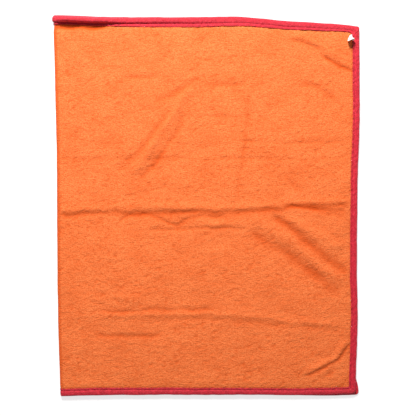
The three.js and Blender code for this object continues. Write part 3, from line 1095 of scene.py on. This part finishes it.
def thread_material():
    """Dark crimson thread with a slanting twist."""
    made, tree, shader = new_material("crimson_thread", 0.6, 0.15, THREAD_LIGHT, 0.3)
    twist = bands(tree, 1.1 * MM, 0.9 * MM, 0.5, 0.4, "DIAGONAL")
    fuzz = noise(tree, 0.4 * MM, 0.4 * MM, 2)
    colour = mix_colour(tree, ramp(tree, twist, 0.2, 0.9), THREAD_BASE, THREAD_LIGHT)
    tree.links.new(colour, shader.inputs["Base Color"])
    add_bump(tree, shader, combine(tree, "ADD", twist, fuzz), 0.15 * MM, 0.6)
    return made


def label_material():
    """White satin ribbon with fine ribs across it. It is blank."""
    made, tree, shader = new_material("white_satin_label", 0.45, 0.2, LABEL_BASE, 0.5)
    ribs = bands(tree, 0.7 * MM, 0.4 * MM, 0.32, 0.5, "X")
    slubs = noise(tree, 1.2 * MM, 6 * MM, 2)
    depth = ramp(tree, combine(tree, "MULTIPLY", ribs, slubs), 0.0, 0.5, 0.25, 0.0)
    colour = mix_colour(tree, depth, LABEL_BASE, LABEL_DEEP)
    tree.links.new(colour, shader.inputs["Base Color"])
    add_bump(tree, shader, ribs, 0.12 * MM, 0.5)
    return made


# ---- Floor, light and camera ----

WHITE = (1, 1, 1, 1)
FLOOR_COLOUR = (0.34, 0.33, 0.33, 1)
FLOOR_GLOW = 0.70
FLOOR_HALF = 60.0  # so wide that a low view finds it to the horizon
FLOOR_SINK = 0.3 * MM  # the soft pile gives this much where it rests


def floor_material():
    """A pale table that glows a little, so that it stays near white round a soft shadow."""
    made = bpy.data.materials.new("pale_table")
    made.use_nodes = True
    shader = made.node_tree.nodes["Principled BSDF"]
    shader.inputs["Base Color"].default_value = FLOOR_COLOUR
    shader.inputs["Roughness"].default_value = 0.9
    shader.inputs["Specular IOR Level"].default_value = 0.1
    shader.inputs["Emission Color"].default_value = WHITE
    shader.inputs["Emission Strength"].default_value = FLOOR_GLOW
    return made


def make_floor():
    """The table that the towel lies on."""
    mesh = bpy.data.meshes.new("floor")
    signs = [(-1, -1), (1, -1), (1, 1), (-1, 1)]
    corners = [(FLOOR_HALF * across, FLOOR_HALF * along, -FLOOR_SINK) for across, along in signs]
    mesh.from_pydata(corners, [], [(0, 1, 2, 3)])
    mesh.materials.append(floor_material())
    floor = bpy.data.objects.new("floor", mesh)
    bpy.context.scene.collection.objects.link(floor)


KEY_DIRECTION = Vector((-0.13, 0.77, 0.65)).normalized()  # from the towel to the lamp
KEY_DISTANCE = 2.4
KEY_SIZE = 0.55
KEY_POWER = 106.0
SKY_STRENGTH = 0.30


def make_lights():
    """A soft lamp over the far side, and an even white sky."""
    scene = bpy.context.scene
    world = bpy.data.worlds.new("studio")
    world.use_nodes = True
    sky = world.node_tree.nodes["Background"]
    sky.inputs["Color"].default_value = WHITE
    sky.inputs["Strength"].default_value = SKY_STRENGTH
    scene.world = world
    lamp = bpy.data.lights.new("key", "AREA")
    lamp.shape = "DISK"
    lamp.size = KEY_SIZE
    lamp.energy = KEY_POWER
    key = bpy.data.objects.new("key", lamp)
    key.location = KEY_DIRECTION * KEY_DISTANCE
    key.rotation_euler = KEY_DIRECTION.to_track_quat("Z", "Y").to_euler()
    scene.collection.objects.link(key)
    scene.view_settings.view_transform = "Standard"
    scene.view_settings.look = "None"


CAMERA_DISTANCE = 1.5
CAMERA_TILT = math.radians(3.4)
CAMERA_ROLL = math.radians(0.3)
CAMERA_AIM = Vector((0.001, 0.0, TOP_Z))
CAMERA_LENS = 65.4
SENSOR = 36.0


def make_camera():
    """A camera almost straight above."""
    lens = bpy.data.cameras.new("camera")
    lens.lens = CAMERA_LENS
    lens.sensor_width = SENSOR
    camera = bpy.data.objects.new("camera", lens)
    turn = Euler((-CAMERA_TILT, 0, -CAMERA_ROLL), "XYZ")
    camera.rotation_euler = turn
    camera.location = CAMERA_AIM + turn.to_matrix() @ Vector((0, 0, CAMERA_DISTANCE))
    bpy.context.scene.collection.objects.link(camera)
    bpy.context.scene.camera = camera


# ---- The towel ----

make_camera()
make_floor()
make_lights()

terry = terry_material()
tape = tape_material()
thread = thread_material()
satin = label_material()

cloth = make_cloth(terry)
trims = []
for strip in ("far", "near", "end"):
    trims.append(make_tape(strip, tape))
    trims.append(make_thread(strip, 1, thread))
    trims.append(make_thread(strip, -1, thread))
label_root, label_flap = make_label(satin)

on_layer = {layer.name: [trim[layer.name] for trim in trims] for layer in (LOWER, UPPER)}
round_fold = [cloth["fold"]] + [trim["fold"] for trim in trims if "fold" in trim]

for layer in (LOWER, UPPER):
    for piece in [cloth[layer.name], *on_layer[layer.name]]:
        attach(piece, layer.body)
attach(label_root, UPPER.body)
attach(label_flap, "care_label")
for piece in round_fold:
    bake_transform(piece)
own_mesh(label_flap)

for layer, others in ((LOWER, round_fold), (UPPER, [label_root, label_flap])):
    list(on_layer[layer.name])
    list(others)
